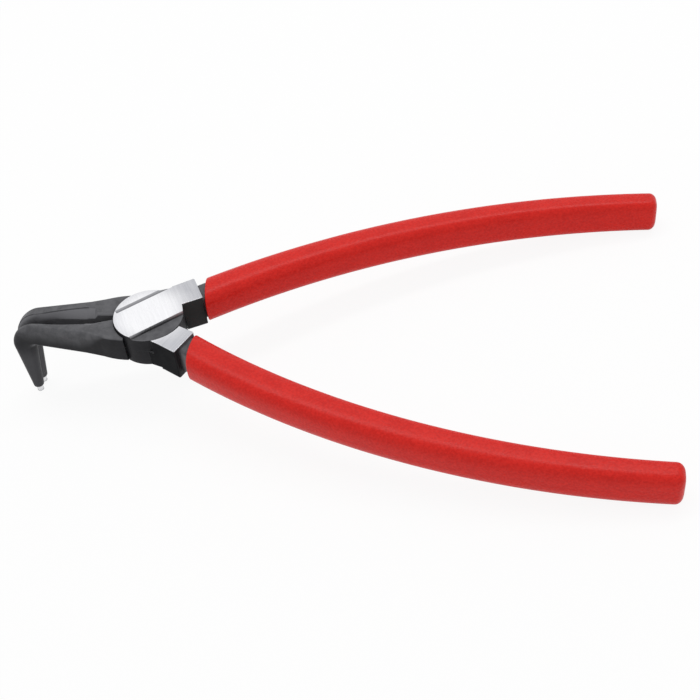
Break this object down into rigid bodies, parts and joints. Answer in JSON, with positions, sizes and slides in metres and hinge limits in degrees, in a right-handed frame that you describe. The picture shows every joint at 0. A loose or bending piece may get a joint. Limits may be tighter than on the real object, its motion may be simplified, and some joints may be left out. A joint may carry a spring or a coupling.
{
  "type": "circlip pliers",
  "caption": "Hand pliers for external retaining rings: bent jaws with round tip pins that spread when the curved sleeved handles are squeezed, on a lap joint with a hidden return spring.",
  "frame": {"origin": "Where the pivot axis meets the ground underside of the joint.", "axes": "+Z is the pivot axis, away from the tips, +X runs from the pivot to the handles, and +Y is the side of the far lever."},
  "size_m": [0.1721, 0.1026, 0.0284],
  "materials": {
    "forged_steel": "dark phosphated steel, ground bright on the joint faces",
    "pin_steel": "ground",
    "spring_steel": "drawn wire",
    "tip_steel": "bright hardened",
    "grip_plastic": "fine grained moulded plastic"
  },
  "bodies": {
    "near_half": {"near_lever": "forged_steel", "near_tip": "tip_steel", "near_grip": "grip_plastic", "return_spring": "spring_steel"},
    "far_half": {"far_lever": "forged_steel", "far_tip": "tip_steel", "far_grip": "grip_plastic", "pivot_pin": "pin_steel"}
  },
  "joints": [
    {"name": "pivot", "type": "hinge", "parent": "near_half", "child": "far_half", "pos_m": [0, 0, 0], "axis": [0, 0, -1], "range_deg": [0, 34], "stiffness_Nm_per_rad": 0.5, "springref_deg": -17.19, "deforming": ["return_spring"]}
  ]
}
